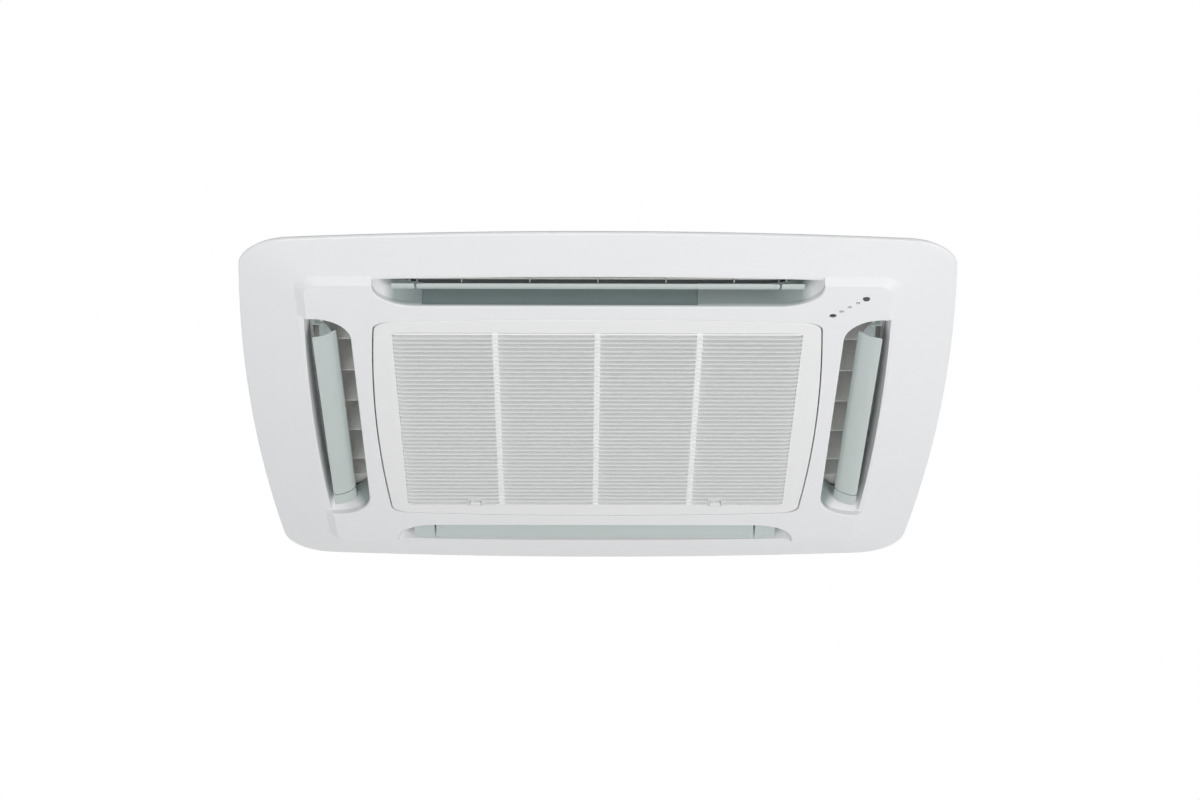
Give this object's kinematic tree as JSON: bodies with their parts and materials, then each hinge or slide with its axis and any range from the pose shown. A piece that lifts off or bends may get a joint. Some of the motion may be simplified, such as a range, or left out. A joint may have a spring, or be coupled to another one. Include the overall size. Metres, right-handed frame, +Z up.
{
  "type": "ceiling cassette air conditioner",
  "caption": "Square ceiling cassette air conditioner: decoration panel, hinged intake grille, swinging louvres, turbo fan, coil, drain pan and hanger brackets.",
  "frame": {"origin": "centre of the ceiling underside, where the back of the decoration panel rim lies", "axes": "+Z up into the ceiling void, +X to the right and -Y towards a viewer of the near side, where the intake grille is hinged"},
  "size_m": [0.99, 0.99, 0.3083],
  "materials": {
    "panel_plastic": "fine satin moulded white",
    "grille_plastic": "fine satin moulded white",
    "louvre_plastic": "satin pale grey",
    "motor_shell": "moulded grey resin",
    "seal_foam": "closed-cell foam",
    "steel": "zinc plated",
    "circuit_board": "solder mask",
    "dark_lens": "smoked lens",
    "clear_lens": "clear lens",
    "filter_plastic": "moulded grey",
    "filter_net": "fine net",
    "galvanised_sheet": "spangled zinc coated sheet",
    "white_foam": "expanded bead foam",
    "black_rubber": "matt",
    "duct_plastic": "moulded light grey",
    "fan_plastic": "moulded light grey",
    "fin_aluminium": "hydrophilic coated fins",
    "end_plate_steel": "zinc coated sheet, copper return bends",
    "copper": "drawn copper tube",
    "brass": "machined brass",
    "grey_plastic": "moulded grey"
  },
  "bodies": {
    "casing": {"panel_frame": "panel_plastic", "panel_seal": "seal_foam", "panel_screw_1": "steel", "panel_screw_2": "steel", "panel_screw_3": "steel", "panel_screw_4": "steel", "receiver_board": "circuit_board", "receiver_window": "dark_lens", "led_light_guide": "clear_lens", "louvre_motor_near": "motor_shell", "louvre_motor_right": "motor_shell", "louvre_motor_far": "motor_shell", "louvre_motor_left": "motor_shell", "hinge_pin_left": "steel", "hinge_pin_right": "steel", "side_wrap": "galvanised_sheet", "top_plate": "galvanised_sheet", "body_insulation": "white_foam", "hanger_bracket_far_right": "galvanised_sheet", "hanger_bracket_far_left": "galvanised_sheet", "hanger_bracket_near_left": "galvanised_sheet", "hanger_bracket_near_right": "galvanised_sheet", "cable_grommet": "black_rubber", "drain_pan": "white_foam", "drain_plug": "black_rubber", "bell_mouth": "duct_plastic", "control_box": "galvanised_sheet", "control_box_lid": "galvanised_sheet", "control_board": "circuit_board", "terminal_block": "grey_plastic", "fan_motor": "motor_shell", "motor_damper_1": "black_rubber", "motor_damper_2": "black_rubber", "motor_damper_3": "black_rubber", "coil_fins": "fin_aluminium", "coil_end_plate_a": "end_plate_steel", "coil_end_plate_b": "end_plate_steel", "gas_pipe": "copper", "gas_flare_nut": "brass", "liquid_pipe": "copper", "liquid_flare_nut": "brass", "drain_pump": "grey_plastic", "drain_hose": "grey_plastic", "drain_socket": "grey_plastic", "float_switch": "grey_plastic"},
    "fan": {"turbo_fan": "fan_plastic", "motor_shaft": "steel", "fan_nut": "steel"},
    "grille": {"intake_grille": "grille_plastic"},
    "filter": {"filter_frame": "filter_plastic", "filter_mesh": "filter_net"},
    "left_latch": {"latch_left": "grille_plastic"},
    "right_latch": {"latch_right": "grille_plastic"},
    "near_louvre": {"louvre_near": "louvre_plastic"},
    "right_louvre": {"louvre_right": "louvre_plastic"},
    "far_louvre": {"louvre_far": "louvre_plastic"},
    "left_louvre": {"louvre_left": "louvre_plastic"},
    "button": {"power_button": "panel_plastic"},
    "drain_float": {"float": "white_foam"}
  },
  "joints": [
    {"name": "louvre_near_swing", "type": "hinge", "parent": "casing", "child": "near_louvre", "pos_m": [0, -0.379, -0.001], "axis": [1, 0, 0], "range_deg": [-20, 40]},
    {"name": "louvre_right_swing", "type": "hinge", "parent": "casing", "child": "right_louvre", "pos_m": [0.379, 0, -0.001], "axis": [0, 1, 0], "range_deg": [-20, 40]},
    {"name": "louvre_far_swing", "type": "hinge", "parent": "casing", "child": "far_louvre", "pos_m": [0, 0.379, -0.001], "axis": [-1, 0, 0], "range_deg": [-20, 40]},
    {"name": "louvre_left_swing", "type": "hinge", "parent": "casing", "child": "left_louvre", "pos_m": [-0.379, 0, -0.001], "axis": [0, -1, 0], "range_deg": [-20, 40]},
    {"name": "fan_spin", "type": "hinge", "parent": "casing", "child": "fan", "pos_m": [0, 0, 0.15], "axis": [0, 0, 1], "continuous": true},
    {"name": "grille_hinge", "type": "hinge", "parent": "casing", "child": "grille", "pos_m": [0, -0.289, -0.0232], "axis": [-1, 0, 0], "range_deg": [0, 80]},
    {"name": "filter_lift", "type": "slide", "parent": "grille", "child": "filter", "axis": [0, 0, 1], "range_m": [0, 0.015]},
    {"name": "latch_left_slide", "type": "slide", "parent": "grille", "child": "left_latch", "axis": [0, -1, 0], "range_m": [0, 0.008]},
    {"name": "latch_right_slide", "type": "slide", "parent": "grille", "child": "right_latch", "axis": [0, -1, 0], "range_m": [0, 0.008]},
    {"name": "button_press", "type": "slide", "parent": "casing", "child": "button", "axis": [0, 0, 1], "range_m": [0, 0.0015], "stiffness_N_per_m": 300, "springref_m": -0.002},
    {"name": "float_rise", "type": "slide", "parent": "casing", "child": "drain_float", "axis": [0, 0, 1], "range_m": [0, 0.012]}
  ]
}
